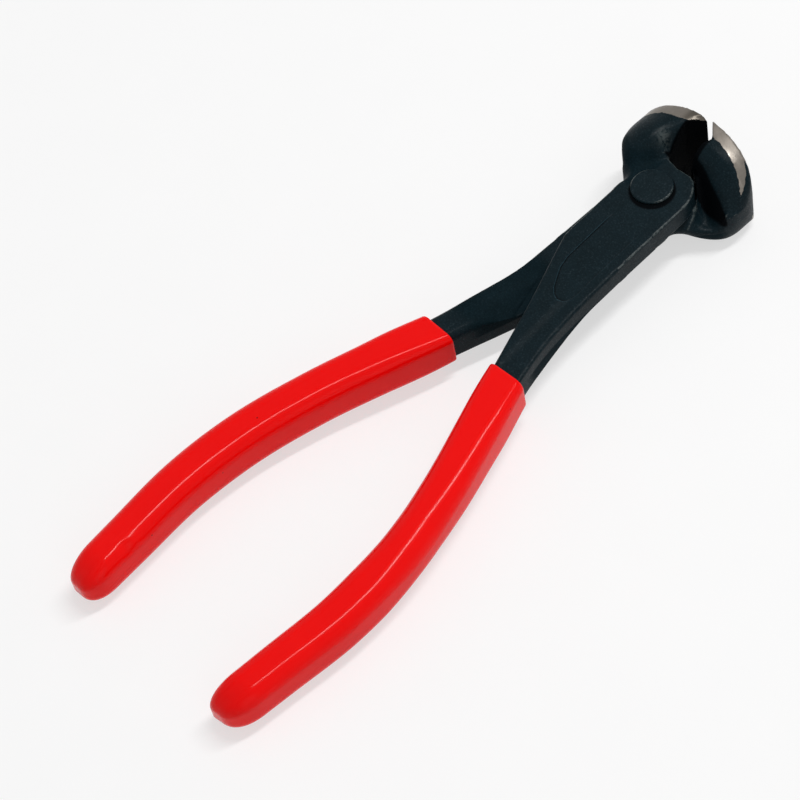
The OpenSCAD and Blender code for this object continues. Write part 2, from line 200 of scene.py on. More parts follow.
def forged_steel(name, ground_band, shine):
    """Drop-forged carbon steel after the black oxide bath, with a ground rim or without."""
    m = material(name)
    place = add(m, "ShaderNodeTexCoord").outputs["Object"]
    pits = add(m, "ShaderNodeTexNoise", {"Vector": place, "Scale": 1 / PIT, "Detail": 4.0, "Roughness": 0.6})
    waves = add(m, "ShaderNodeTexNoise", {"Vector": place, "Scale": 1 / WAVE, "Detail": 3.0, "Roughness": 0.5})
    specks = add(m, "ShaderNodeTexNoise", {"Vector": place, "Scale": 1 / SPECK, "Detail": 3.0, "Roughness": 0.7})
    tone = add(m, "ShaderNodeMix", {"Factor": waves.outputs["Fac"], "A": colour("#0a161a"),
                                    "B": colour("#112026")}, data_type="RGBA")
    grain = add(m, "ShaderNodeValToRGB", {"Fac": pits.outputs["Fac"]},
                stops=[(0.32, grey(0.72)), (0.5, grey(1.0)), (0.70, grey(1.35))])
    clean = add(m, "ShaderNodeMix", {"Factor": 1.0, "A": tone.outputs["Result"], "B": grain.outputs["Color"]},
                data_type="RGBA", blend_type="MULTIPLY")
    # Painted shade: this mark darkens the colour in the hollow, on the wall beside the other lever's boss and in a
    # painted shadow by the rivet's head, and takes the shine away there
    soot = add(m, "ShaderNodeAttribute", attribute_name="soot", attribute_type="GEOMETRY")
    skin_colour = add(m, "ShaderNodeMix", {"Factor": soot.outputs["Fac"], "A": clean.outputs["Result"],
                                           "B": colour("#030507")}, data_type="RGBA")
    dull = add(m, "ShaderNodeAttribute", attribute_name="dull", attribute_type="GEOMETRY")
    dead = add(m, "ShaderNodeMath", {0: soot.outputs["Fac"], 1: dull.outputs["Fac"]}, operation="MAXIMUM")
    flat_gloss = add(m, "ShaderNodeMapRange", {"Value": dead.outputs[0], "To Min": shine, "To Max": DULL_SHINE})
    # The raised grain between the pits catches the light as small glints
    glints = add(m, "ShaderNodeMapRange", {"Value": pits.outputs["Fac"], "From Min": 0.56, "From Max": 0.70,
                                           "To Min": 0.9, "To Max": 2.8})
    glinting = add(m, "ShaderNodeMath", {0: flat_gloss.outputs["Result"], 1: glints.outputs["Result"]},
                   operation="MULTIPLY")
    # Wear and painted highlight on the convex edges, in patches: the colour is lightened there, which paints the
    # light lines along the rounded edges, and the shine rises
    worn_and_highlit = add(m, "ShaderNodeAttribute", attribute_name="wear", attribute_type="GEOMETRY")
    patches = add(m, "ShaderNodeMapRange", {"Value": specks.outputs["Fac"], "From Min": 0.36, "From Max": 0.56})
    highlit_wear = add(m, "ShaderNodeMath", {0: worn_and_highlit.outputs["Fac"], 1: patches.outputs["Result"]}, operation="MULTIPLY")
    gloss = add(m, "ShaderNodeMix", {"Factor": highlit_wear.outputs[0], "A": glinting.outputs[0],
                                     "B": RUBBED_SHINE}, data_type="FLOAT")
    edge_share = add(m, "ShaderNodeMath", {0: highlit_wear.outputs[0], 1: HIGHLIGHT_SHARE}, operation="MULTIPLY")
    highlit_colour = add(m, "ShaderNodeMix", {"Factor": edge_share.outputs[0], "A": skin_colour.outputs["Result"],
                                             "B": colour("#5d6664")}, data_type="RGBA")
    # The die's edge round the panel, in painted light and shade: a painted highlight on the lip outside, and a
    # painted shade line at its foot.
    # The attribute is the distance inside the panel's outline, in millimetres.
    panel = add(m, "ShaderNodeAttribute", attribute_name="panel", attribute_type="GEOMETRY")
    fade = add(m, "ShaderNodeAttribute", attribute_name="panel_fade", attribute_type="GEOMETRY")
    across_edge = add(m, "ShaderNodeMapRange", {"Value": panel.outputs["Fac"], "From Min": -0.8, "From Max": 0.8})
    panel_edge_light = add(m, "ShaderNodeValToRGB", {"Fac": across_edge.outputs["Result"]},
              stops=[(0.28, grey(1.0)), (0.40, grey(3.2)), (0.50, grey(0.8)), (0.60, grey(0.15)),
                     (0.74, grey(1.0))])
    faded_panel_edge_light = add(m, "ShaderNodeMix", {"Factor": fade.outputs["Fac"], "A": grey(1.0), "B": panel_edge_light.outputs["Color"]},
                    data_type="RGBA")
    surface_colour = add(m, "ShaderNodeMix", {"Factor": 1.0, "A": highlit_colour.outputs["Result"],
                                              "B": faded_panel_edge_light.outputs["Result"]},
                         data_type="RGBA", blend_type="MULTIPLY")
    even_rough = add(m, "ShaderNodeMapRange", {"Value": specks.outputs["Fac"], "From Min": 0.3, "From Max": 0.7,
                                               "To Min": 0.34, "To Max": 0.46})
    skin_rough = add(m, "ShaderNodeMix", {"Factor": dead.outputs[0], "A": even_rough.outputs["Result"],
                                          "B": DULL_ROUGHNESS}, data_type="FLOAT")
    sunk = add(m, "ShaderNodeMapRange", {"Value": panel.outputs["Fac"], "From Min": -0.17, "From Max": 0.17,
                                         "To Min": 1.0, "To Max": 0.0})
    pressed = add(m, "ShaderNodeMath", {0: sunk.outputs["Result"], 1: fade.outputs["Fac"]}, operation="MULTIPLY")
    panel_bump = add(m, "ShaderNodeBump", {"Height": pressed.outputs[0], "Strength": 1.0, "Distance": 0.5 * MM})
    wave_bump = add(m, "ShaderNodeBump", {"Height": waves.outputs["Fac"], "Strength": 0.25, "Distance": 0.2 * MM,
                                          "Normal": panel_bump.outputs["Normal"]})
    pit_bump = add(m, "ShaderNodeBump", {"Height": pits.outputs["Fac"], "Strength": 0.6, "Distance": 0.05 * MM,
                                         "Normal": wave_bump.outputs["Normal"]})
    skin = add(m, "ShaderNodeBsdfPrincipled", {
        "Base Color": surface_colour.outputs["Result"], "Roughness": skin_rough.outputs["Result"],
        "Specular IOR Level": gloss.outputs["Result"], "Normal": pit_bump.outputs["Normal"]})
    shader = skin
    if ground_band:
        # Grinding lines run round the rim: the noise is stretched along the mesh's own rim direction,
        # and the bare steel is blotched, and darker and duller where the dull mark reaches over it
        along = add(m, "ShaderNodeAttribute", attribute_name="rim_place", attribute_type="GEOMETRY")
        lines = add(m, "ShaderNodeTexNoise", {"Vector": along.outputs["Vector"], "Scale": 1.0, "Detail": 5.0,
                                              "Roughness": 0.65})
        blotch = add(m, "ShaderNodeTexNoise", {"Vector": place, "Scale": 1 / BLOTCH, "Detail": 4.0,
                                               "Roughness": 0.6})
        bright = add(m, "ShaderNodeMix", {"Factor": lines.outputs["Fac"], "A": colour("#625e58"),
                                          "B": colour("#968f87")}, data_type="RGBA")
        blotched = add(m, "ShaderNodeMix", {"Factor": blotch.outputs["Fac"], "A": bright.outputs["Result"],
                                            "B": colour("#7a746d")}, data_type="RGBA")
        steel_tone = add(m, "ShaderNodeMix", {"Factor": dull.outputs["Fac"], "A": blotched.outputs["Result"],
                                              "B": colour("#5a554e")}, data_type="RGBA")
        steel_rough = add(m, "ShaderNodeMapRange", {"Value": blotch.outputs["Fac"], "From Min": 0.3, "From Max": 0.7,
                                                    "To Min": 0.26, "To Max": 0.46})
        line_bump = add(m, "ShaderNodeBump", {"Height": lines.outputs["Fac"], "Strength": 0.5, "Distance": 0.03 * MM})
        steel = add(m, "ShaderNodeBsdfPrincipled", {
            "Base Color": steel_tone.outputs["Result"], "Metallic": 1.0,
            "Roughness": steel_rough.outputs["Result"], "Normal": line_bump.outputs["Normal"]})
        inside = add(m, "ShaderNodeAttribute", attribute_name="ground_depth", attribute_type="GEOMETRY")
        ragged = add(m, "ShaderNodeTexNoise", {"Vector": place, "Scale": 1 / RAGGED_EDGE, "Detail": 5.0,
                                               "Roughness": 0.7})
        swing = add(m, "ShaderNodeMath", {0: ragged.outputs["Fac"], 1: 0.5}, operation="SUBTRACT")
        depth = add(m, "ShaderNodeMath", {0: swing.outputs[0], 1: EDGE_SWING, 2: inside.outputs["Fac"]},
                    operation="MULTIPLY_ADD")
        mask = add(m, "ShaderNodeMapRange", {"Value": depth.outputs[0], "From Min": -0.04, "From Max": 0.10})
        shader = add(m, "ShaderNodeMixShader", {0: mask.outputs["Result"], 1: skin.outputs[0],
                                                2: steel.outputs[0]})
    add(m, "ShaderNodeOutputMaterial", {"Surface": shader.outputs[0]})
    return m


BLACKENED = forged_steel("black_oxide_forging_ground_rim", True, 0.06)
RIVET_STEEL = forged_steel("black_oxide_rivet", False, 0.07)
print("steel nodes:", len(BLACKENED.node_tree.nodes), "and on the rivet", len(RIVET_STEEL.node_tree.nodes))

# %% [markdown]
# ## Dipped vinyl
# The handles are dipped hot into red plastisol. It flows before it sets, so the skin is
# glossy and even, with a faint orange peel a few millimetres long and specks of dust.
# Light goes a little way into it. Vinyl has an IOR near 1.53, but in this white room that
# lays a pale veil over the red at the sides, so the mirror part is made weaker: 1.20.

# %% Red plastisol
GRAIN, PEEL, DUST, MOTTLE = 0.5 * MM, 6 * MM, 9 * MM, 14 * MM
VINYL_IOR = 1.20


def dipped_vinyl(name):
    """Red plastisol, dipped and set by heat."""
    m = material(name)
    place = add(m, "ShaderNodeTexCoord").outputs["Object"]
    peel = add(m, "ShaderNodeTexNoise", {"Vector": place, "Scale": 1 / PEEL, "Detail": 2.0, "Roughness": 0.4})
    mottle = add(m, "ShaderNodeTexNoise", {"Vector": place, "Scale": 1 / MOTTLE, "Detail": 3.0, "Roughness": 0.5})
    grain = add(m, "ShaderNodeTexNoise", {"Vector": place, "Scale": 1 / GRAIN, "Detail": 2.0, "Roughness": 0.5})
    dust = add(m, "ShaderNodeTexVoronoi", {"Vector": place, "Scale": 1 / DUST, "Randomness": 1.0})
    tone = add(m, "ShaderNodeMix", {"Factor": mottle.outputs["Fac"], "A": colour("#ee0505"),
                                    "B": colour("#f60a08")}, data_type="RGBA")
    speck = add(m, "ShaderNodeMapRange", {"Value": dust.outputs["Distance"], "From Min": 0.018, "From Max": 0.034})
    tinted = add(m, "ShaderNodeMix", {"Factor": speck.outputs["Result"], "A": colour("#7c0808"),
                                      "B": tone.outputs["Result"]}, data_type="RGBA")
    rough = add(m, "ShaderNodeMapRange", {"Value": grain.outputs["Fac"], "From Min": 0.3, "From Max": 0.7,
                                          "To Min": 0.13, "To Max": 0.18})
    soft = add(m, "ShaderNodeBump", {"Height": peel.outputs["Fac"], "Strength": 0.18, "Distance": 0.12 * MM})
    fine = add(m, "ShaderNodeBump", {"Height": grain.outputs["Fac"], "Strength": 0.12, "Distance": 0.01 * MM,
                                     "Normal": soft.outputs["Normal"]})
    vinyl = add(m, "ShaderNodeBsdfPrincipled", {
        "Base Color": tinted.outputs["Result"], "Roughness": rough.outputs["Result"], "IOR": VINYL_IOR,
        "Subsurface Weight": 0.10, "Subsurface Radius": (1.0, 0.25, 0.2), "Subsurface Scale": 1.2 * MM,
        "Normal": fine.outputs["Normal"]})
    add(m, "ShaderNodeOutputMaterial", {"Surface": vinyl.outputs[0]})
    return m


VINYL = dipped_vinyl("dipped_vinyl_red")
print("vinyl nodes:", len(VINYL.node_tree.nodes))

# %% [markdown]
# ## Mesh helpers
# A piece is made from points and faces, rides on the CAD body that it belongs to and
# replaces the plain CAD node.

# %% Make a piece
def piece(name, points, faces, mat, body, node):
    """An object from points in millimetres, riding on its body in place of the CAD node."""
    mesh = bpy.data.meshes.new(name)
    mesh.from_pydata([tuple(p) for p in points * MM], [], faces)
    mesh.validate()
    mesh.materials.append(mat)
    ob = bpy.data.objects.new(name, mesh)
    scene.collection.objects.link(ob)
    mesh.shade_smooth()
    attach(ob, body)
    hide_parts(node)
    print(name, len(mesh.vertices), "vertices")
    return ob


def loft(rings):
    """Faces of a skin over rings of equally many points, closed by a cap at each end."""
    rows, sides = len(rings), len(rings[0])
    points = np.concatenate(rings)
    faces = []
    for r in range(rows - 1):
        for k in range(sides):
            n = (k + 1) % sides
            faces.append((r * sides + k, r * sides + n, (r + 1) * sides + n, (r + 1) * sides + k))
    faces.append(tuple(range(sides - 1, -1, -1)))
    faces.append(tuple(range((rows - 1) * sides, rows * sides)))
    return points, faces


def paint(mesh, label, values):
    """Writes a value, or a vector, at each vertex, for the material to read."""
    kind, key = ("FLOAT_VECTOR", "vector") if values.ndim == 2 else ("FLOAT", "value")
    mesh.attributes.new(label, kind, "POINT").data.foreach_set(key, values.astype(np.float32).ravel())


def step(x, low, high):
    """Smooth step from 0 to 1 as x goes from low to high."""
    t = np.clip((x - low) / (high - low), 0, 1)
    return t * t * (3 - 2 * t)


print("halfway through a smooth step:", float(step(0.5, 0, 1)))

# %% [markdown]
# ## The levers
# A forging has no sharp edges where the dies met or the hammer worked: every edge is
# rounded by half a millimetre or so, and every hollow has a fillet. The CAD solid has the
# true form with plain edges, so the piece is made from it: a voxel remesh turns the solid
# into an even skin of small squares, and smoothing that skin rounds the edges. A bevel
# modifier is the other way, but it fails where many small faces meet. Smoothing is held
# back at the cutting edges, which are ground after the forging.
#
# In a lever's own frame the jaw lies at negative x. Its distance out from the middle is
# written u, and z is above zero on the side that the other lever doesn't cover.

# %% Sizes of the jaw, in millimetres
VOXEL = 0.27
EDGE_Y = 22.5
BEVEL = 3.9
THROAT_HALF_WIDTH = 4.1
# Share of that half-width at the bevel, and the land left at the cutting edge itself
BEVEL_SHARE, LAND = 0.93, 0.03
BOSS = 11.15
PLATE = 6.2
JAW_TOP = 12.3
# Where the ground rim starts, from the middle of the jaw outwards: on the lever's own side, and on the other
RIM_U = np.array([0, 1.5, 3.2, 5.65, 8.1, 11.2, 14.3, 16.0, 18.0])
RIM_NEAR_Y = np.array([22.3, 21.26, 19.4, 18.3, 17.95, 17.6, 16.4, 15.7, 17.6])
RIM_FAR_Y = np.array([19.6, 19.3, 19.0, 18.7, 18.2, 17.6, 16.5, 15.5, 14.0])
# The grinder leaves the lower corners of the rim black: height down to which it is bright
RIM_Y = np.array([13.0, 13.87, 14.76, 16.04, 17.35, 18.83, 19.61, 20.38, 21.2])
RIM_LOW_Z = np.array([2.5, 3.08, 4.01, 5.38, 6.79, 8.1, 8.92, 9.4, -9.0])
# Height of the throat's rim beside the hollow, from the boss out to the bevel
THROAT_Y = np.array([9.0, 12.3, 12.8, 13.37, 15.06, 17.37, 19.2, 22.5])
THROAT_Z = np.array([6.3, 6.4, 7.9, 9.1, 10.4, 11.5, 12.1, 12.3])
# How far out from the middle that rim is lowered, and the height above which it is
LOWERED_Y, LOWERED_U = np.array([10, 13, 16, 19]), np.array([9.0, 8.4, 7.4, 6.0])
RIM_BASE = 3
# Where the wall beside the other lever's boss turns into the jaw's sloping face, and its foot
WALL_U = np.array([0, 6.0, 8.0, 10.1, 12.5, 14.5, 16.3, 17.1, 18.5])
WALL_Y = np.array([13.2, 12.6, 12.1, 11.4, 10.8, 10.3, 9.7, 9.2, 8.9])
WALL_FOOT_Y = 8.0
NECK_DROP = 3.9
# The crotch between the arms: its ceiling rises outwards by this slope, between these distances down
CROTCH_SLOPE, CROTCH_START, CROTCH_END = 0.55, 30, 62
# Distance down from the rivet at which the arm has come down to the shank's thickness
SHANK_START = 66
# Outline of the shallow panel on the arm, going round from its left upper corner
PANEL = np.array([(-2.3, -11.4), (-2.3, -30.0), (-1.6, -33.5), (-0.1, -36.6), (1.2, -39.0), (2.7, -40.6),
                  (4.2, -41.3), (5.8, -40.9), (7.0, -39.6), (7.4, -36.8), (7.4, -11.4)])
# Thickness of the layer under the arm's face that the panel belongs to
PANEL_LAYER = 1.2


def inner_face(y):
    """Half-width of the hollow between the jaws."""
    bevel = EDGE_Y - BEVEL
    bulge = np.sin(np.pi * np.minimum(0.9, (bevel - y) / (bevel + 1) * 0.85))
    hollow = THROAT_HALF_WIDTH * (BEVEL_SHARE + 0.07 * bulge)
    closing = LAND + (THROAT_HALF_WIDTH * BEVEL_SHARE - LAND) * (EDGE_Y - y) / BEVEL
    return np.where(y > bevel, closing, hollow)


def outline_distance(x, y, outline):
    """Distance to a closed outline, above zero inside it."""
    best, inside = np.full(len(x), 1e9), np.zeros(len(x), bool)
    for (ax, ay), (bx, by) in zip(outline, np.roll(outline, -1, 0)):
        dx, dy = bx - ax, by - ay
        t = np.clip(((x - ax) * dx + (y - ay) * dy) / (dx * dx + dy * dy), 0, 1)
        best = np.minimum(best, np.hypot(x - ax - t * dx, y - ay - t * dy))
        inside ^= ((ay > y) != (by > y)) & (x < ax + (y - ay) * dx / (dy if dy else 1e-9))
    return np.where(inside, best, -best)


print("half-width of the hollow beside the boss:", round(float(inner_face(12.0)), 2), "mm")

# %% [markdown]
# ## Rounding the edges
# The smoothing takes a weight at each vertex. One map of weights rounds the whole forging
# and spares the cutting edge. The other one, with many more rounds, swells the hammered
# faces of the jaw into soft domes.

# %% Smooth a mesh by weights
SOFTNESS_STEPS = 20


def corners(mesh, side):
    """A mesh's points in its lever's own frame."""
    flat = np.empty(len(mesh.vertices) * 3)
    mesh.vertices.foreach_get("co", flat)
    return own(flat.reshape(-1, 3) / MM, side)


def applied(ob):
    """Mesh of an object with its modifiers applied."""
    deps = bpy.context.evaluated_depsgraph_get()
    mesh = bpy.data.meshes.new_from_object(ob.evaluated_get(deps))
    ob.modifiers.clear()
    ob.data = mesh
    ob.vertex_groups.clear()
    return mesh


def soften(ob, weights, rounds):
    """Smooths the skin, each point as strongly as its weight."""
    group = ob.vertex_groups.new(name="softness")
    levels = np.round(weights * SOFTNESS_STEPS)
    for level in range(1, SOFTNESS_STEPS + 1):
        members = np.nonzero(levels == level)[0]
        if len(members):
            group.add(members.tolist(), level / SOFTNESS_STEPS, "REPLACE")
    mod = ob.modifiers.new("soften", "SMOOTH")
    mod.factor, mod.iterations, mod.vertex_group = 0.5, rounds, "softness"
    return applied(ob)


def edge_softness(p):
    """Strong all over, weak at the cutting edge and the rim of the hollow."""
    x, y = p[:, 0], p[:, 1]
    strong = np.clip((EDGE_Y + 0.2 - y) / 2.5, 0.10, 1)
    beside = (x < 0) & (y > 12) & (-x < inner_face(y) + 1.2)
    return np.where(beside, np.minimum(strong, np.where(y > 17.5, 0.12, 0.5)), strong)


def dome_softness(p):
    """Only the hammered faces of the jaw, clear of the hollow, the boss and the ground rim."""
    x, y, z = p.T
    clear = step(-x - inner_face(y), 0.9, 2.4)
    near = step(z, 4.0, 6.0) * step(y, -4, 0) * (1 - step(y, 16.5, 18.5))
    far = step(-z, 0.6, 1.8) * step(y, 6.8, 8.2) * (1 - step(y, 14.6, 16.2))
    round_boss = step(np.hypot(x, y), BOSS + 0.3, BOSS + 1.0)
    neck = round_boss * step(y, -4, -2) * (1 - step(y, 7.5, 9)) * (1 - step(z, 4.9, 5.6)) * step(-x, 3, 5)
    return np.maximum(clear * np.maximum(near, far), neck) * (x < 0)


probe = np.array([(-9.0, 22.4, 0.0), (-9.0, 5.0, 8.0)])
print("softness at the cutting edge and on the jaw's root:", edge_softness(probe).round(2).tolist())

# %% [markdown]
# ## What the dies and the hammer leave
# A few soft forms are too gentle or too free for plain CAD solids. Each one is a small
# function that moves the points of the skin, and they are applied one after another.

# %% Soft forms of the jaw, the neck and the arm
def lowered_rim(x, y, z):
    """Brings the rim of the throat down to the boss in a curve."""
    top = JAW_TOP * np.clip(0.62 + 0.38 * step(y, 4, 12.2), 0, 1)
    wanted = np.interp(y, THROAT_Y, THROAT_Z)
    reach = np.interp(y, LOWERED_Y, LOWERED_U)
    beside = np.clip((reach + x) / np.maximum(reach - inner_face(y), 0.5), 0, 1) ** 2
    beside = beside * (x < -1) * step(y, 9.5, 12.0)
    share = 1 + (np.minimum(1, (wanted - RIM_BASE) / (top - RIM_BASE)) - 1) * beside
    return np.where(z > RIM_BASE, RIM_BASE + (z - RIM_BASE) * share, z)


def height_map(u, y, h):
    """Top of the jaw over each place, from the points themselves, on a grid of half millimetres."""
    cell, cells = 0.5, 60
    grid = np.full((cells, cells), -99.0)
    i = np.clip((u / cell).astype(int), 0, cells - 1)
    j = np.clip(((y + 5) / cell).astype(int), 0, cells - 1)
    np.maximum.at(grid, (i, j), h)
    spread = grid.copy()
    for a, b in ((0, 1), (0, -1), (1, 0), (-1, 0)):
        spread = np.maximum(spread, np.roll(grid, (a, b), (0, 1)) - 0.4)
    return spread[i, j]


def dropped_neck(x, y, z):
    """Drops the neck outside the other lever's boss, which leaves a steep wall up to the jaw."""
    u, h = -x, -z
    jaw = (x < 0) & (y > -4) & (h > -PLATE - 0.05)
    # Points off the jaw all go to one far cell of the map, where they do no harm
    tops = height_map(np.where(jaw, u, 29), np.where(jaw, y, 24), np.where(jaw, h, -99))
    old_top = np.where(jaw, tops, 1)
    turn = np.interp(u, WALL_U, WALL_Y)
    ramp = np.clip((y - WALL_FOOT_Y) / (turn - WALL_FOOT_Y), 0, 1)
    target = np.where(y > turn, 99, -NECK_DROP + (old_top + NECK_DROP) * ramp ** 0.8)
    outside = step(np.hypot(x, y), BOSS, BOSS + 0.7) * step(y, -2.5, 0.5)
    drop = np.maximum(0, old_top - target) * outside
    squeeze = 1 - drop / np.maximum(old_top + PLATE, 0.5)
    return np.where(jaw, -(-PLATE + (h + PLATE) * np.clip(squeeze, 0.1, 1)), z)


def eased_crotch(x, y, z):
    """Eases off the step down to the other arm, in the crotch."""
    reach = -y
    crotch_x = arm_width(reach) - line_x(reach)
    ceiling = np.maximum(0.05, (x - crotch_x) * CROTCH_SLOPE)
    ease = step(reach, CROTCH_START + 1, 36) * (1 - step(reach, 52, CROTCH_END))
    above = (-z > ceiling) & (reach > CROTCH_START) & (reach < CROTCH_END)
    return np.where(above, z + (-z - ceiling) * ease, z)


def filled_panel(x, y, z):
    """Fills the panel, because the material draws its edge, as painted highlight and painted shade, more finely than
    the mesh can.
    """
    filled = (outline_distance(x, y, PANEL) > -0.6) & (z > PLATE - PANEL_LAYER)
    face = PLATE - (PLATE - SHANK_THICKNESS / 2) * step(-y, ARM_PLACES[0], SHANK_START)
    return np.where(filled, face, z)


def scooped_throat(x, y, z):
    """Scoops the throat's floor, fills its corners and narrows the hollow a little towards its far rim."""
    scoop = 0.6 * step(x, -1.5, 1.5) * (1 - step(x, 4.5, 7.5)) * step(y, 6.5, 9.2) * (np.abs(z) < 7)
    near_corner = 0.8 * np.clip(1 - np.hypot(x + 3.8, y - 9.6) / 2.8, 0, 1) ** 2 * (np.abs(z) < 7.5)
    # A thicker fillet in the other side's corner closes the slit beside the boss
    far_corner = 1.2 * np.clip(1 - np.hypot(x + 3.9, y - 11.2) / 2.4, 0, 1) ** 2 * step(-z, -4, -1) * (x < 0)
    corner = near_corner + far_corner
    narrow = (1.0 * step(-z, 4, 9) * step(y, 9.5, 11.5) * (1 - step(y, 15.5, 18.3)) * (x < 0)
              * (1 - step(np.abs(-x - inner_face(y)), 0.8, 2.5)))
    return np.stack([x + corner + narrow, y - scoop * (y < 12) + corner * (y < 10.4), z], -1)


def hammered(p):
    """All the soft forms, one after another."""
    x, y, z = p.T
    for form in (lowered_rim, dropped_neck, eased_crotch, filled_panel):
        z = form(x, y, z)
    return scooped_throat(x, y, z)


print("height of the throat's rim at its middle:", float(np.interp(15.0, THROAT_Y, THROAT_Z).round(2)), "mm")

# %% [markdown]
# ## Marks on the skin
# Grinding, scale and wear have a place on the real tool; painted shade, a painted shadow and painted highlights are
# marked here as well. Each mark is worked out for every vertex and stored on the mesh, and the material reads it by
# name.

# %% Marks for the material to read
OUTSIDE = -5
# A painted shadow of the rivet's head: a dark ring round it, set a little to one side
RIVET_SHADOW_X, RIVET_SHADOW_Y = 0.75, -0.75


def ground_depth(p):
    """How far a point lies inside the ground rim, in millimetres."""
    x, y, z = p.T
    u = np.abs(x)
    start = np.where(z > 0, np.interp(u, RIM_U, RIM_NEAR_Y), np.interp(u, RIM_U, RIM_FAR_Y))
    depth = np.minimum(y - start, (u - inner_face(y) - 0.12) * 2.5)
    depth = np.minimum(depth, np.abs(z) - np.interp(y, RIM_Y, RIM_LOW_Z))
    return np.where(x < 0, depth, OUTSIDE)


def soot(p):
    """Painted shade and shadow: the hollow between the jaws, the wall beside the other lever's boss, and a painted
    shadow round the rivet's head.
    """
    x, y, z = p.T
    u = np.abs(x)
    hollow = (x < 1) * step(inner_face(y) + 0.35 - u, -0.2, 0.2) * step(y, 9.7, 10.3)
    turn = np.interp(u, WALL_U, WALL_Y)
    wall = ((x < 0) * step(-z, -NECK_DROP + 0.2, -NECK_DROP + 0.8)
            * step(y, WALL_FOOT_Y - 0.5, WALL_FOOT_Y + 0.1)
            * step(turn - y, -0.15, 0.35) * (z < 0.5 + 3 * step(u, 9, 10)))
    rivet_shadow = (z > 5) * (1 - step(np.hypot(x - RIVET_SHADOW_X, y - RIVET_SHADOW_Y), 5.95, 6.35))
    return np.maximum(np.maximum(hollow, wall), rivet_shadow)


def dullness(p):
    """Scale stays dull in the root and the corner of the jaw, in the crotch and on the neck."""
    x, y, z = p.T
    u = np.abs(x)
    root = (x < -1) * (u > 3) * step(z, 5.6, 6.0) * (1 - step(z, 8, 10)) * step(y, -4, -2) * (1 - step(y, 7, 10))
    crotch = (z < 1) * step(-y, 30, 34) * (1 - step(-y, 58, 63))
    corner = (x < 0) * step(z, 10.2, 11.8) * step(y, 18.2, 19.2) * (1 - step(u, 4.2, 6.5))
    neck = (x < 0) * (z < 1) * step(-z, -5.5, -4.5) * (1 - step(-z, -3.2, -2.2)) * (1 - step(y, 7, 8))
    return np.maximum(np.maximum(root, crotch), np.maximum(corner, neck))


def outward(mesh, side):
    """A mesh's normals in its lever's own frame."""
    normals = np.empty(len(mesh.vertices) * 3)
    mesh.vertex_normals.foreach_get("vector", normals)
    return own(normals.reshape(-1, 3), side) - own(np.zeros((1, 3)), side)


def edge_wear_and_highlight(p, shed):
    """Wear and painted highlight on the convex edges, which are where the smoothing took the skin inwards, and a
    painted highlight on one spot of the jaw's dome.
    """
    x, y, z = p.T
    highlight_spot = 0.55 * np.exp(-((x + 6.2) / 1.4) ** 2 - ((y - 12) / 1.7) ** 2) * (z > 5)
    return np.maximum(0.7 * step(shed, 0.03, 0.09), highlight_spot)


def panel_marks(p):
    """Distance inside the panel's outline, and how clearly its edge shows."""
    x, y, z = p.T
    distance = np.where(z > PLATE - PANEL_LAYER, outline_distance(x, y, PANEL), OUTSIDE)
    return distance, (1 - step(y, -17, -11.6)) * (1 - 0.75 * step(x, 4.0, 7.4))


def rim_place(p):
    """Place on the rim, stretched so that grinding lines run round it."""
    x, y, z = p.T
    u = np.abs(x)
    around = np.arctan2(u, np.maximum(y - 5, 0.1))
    return np.stack([around * 5.6, z * 3.2, np.hypot(u, y - 5) * 1.2], -1)


print("ground rim starts at y", RIM_NEAR_Y.min(), "to", RIM_NEAR_Y.max(), "mm on the lever's own side")

# %% Forge both levers
DOME_ROUNDS, EDGE_ROUNDS = 260, 9


def forge(name, node, side):
    """Makes a lever's skin from its CAD solid, marks it and puts it on its body."""
    ob = bpy.data.objects.new(name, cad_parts[node].data.copy())
    scene.collection.objects.link(ob)
    mod = ob.modifiers.new("even_skin", "REMESH")
    mod.mode, mod.voxel_size = "VOXEL", VOXEL * MM
    skin = applied(ob)
    before = corners(skin, side)
    skin.vertices.foreach_set("co", (placed(hammered(before), side) * MM).ravel())
    sharp = corners(soften(ob, dome_softness(before), DOME_ROUNDS), side)
    smooth = soften(ob, edge_softness(before), EDGE_ROUNDS)
    p = corners(smooth, side)
    shed = ((sharp - p) * outward(smooth, side)).sum(1)
    print("smoothing takes up to", round(float(shed.max()), 2), "mm off the edges")
    # Marks of painted shade and shadow, and of edge wear with painted highlights, are worked out here
    painted_shade_share, dull = soot(p), dullness(p)
    panel, panel_fade = panel_marks(p)
    paint(smooth, "ground_depth", ground_depth(p))
    paint(smooth, "soot", painted_shade_share)
    paint(smooth, "dull", dull)
    paint(smooth, "wear", edge_wear_and_highlight(p, shed) * (1 - painted_shade_share) * (1 - 0.85 * dull))
    paint(smooth, "panel", panel)
    paint(smooth, "panel_fade", panel_fade)
    paint(smooth, "rim_place", rim_place(p))
    smooth.name = name
    smooth.materials.clear()
    smooth.materials.append(BLACKENED)
    smooth.shade_smooth()
    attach(ob, side)
    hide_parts(node)
    print(name, len(smooth.vertices), "vertices")


forge("front_forging", "front_lever", "front")
forge("rear_forging", "rear_lever", "rear")

# %% [markdown]
# ## The rivet
# The rivet is a steel pin, pressed into a low round head on each side. Its rim is
# rounded by the press, and the face is very slightly domed, which is what catches a
# soft light across it. It is a turned form, so one profile swept round the axis makes it.

# %% Turn the rivet
HEAD_RADIUS, HEAD_EDGE, HEAD_DOME = 5.65, 0.45, 0.12
HEAD_BASE, HEAD_TOP = 6.25, 7.0
PIN_RADIUS = 4.0
RIVET_STEPS = 96


def turned(profile, steps):
    """Skin of a profile of radii and heights, turned about the rivet's axis."""
    a = np.linspace(0, 2 * np.pi, steps, endpoint=False)
    return loft([np.stack([r * np.cos(a), RIVET_Y + r * np.sin(a), np.full(steps, z)], -1) for r, z in profile])


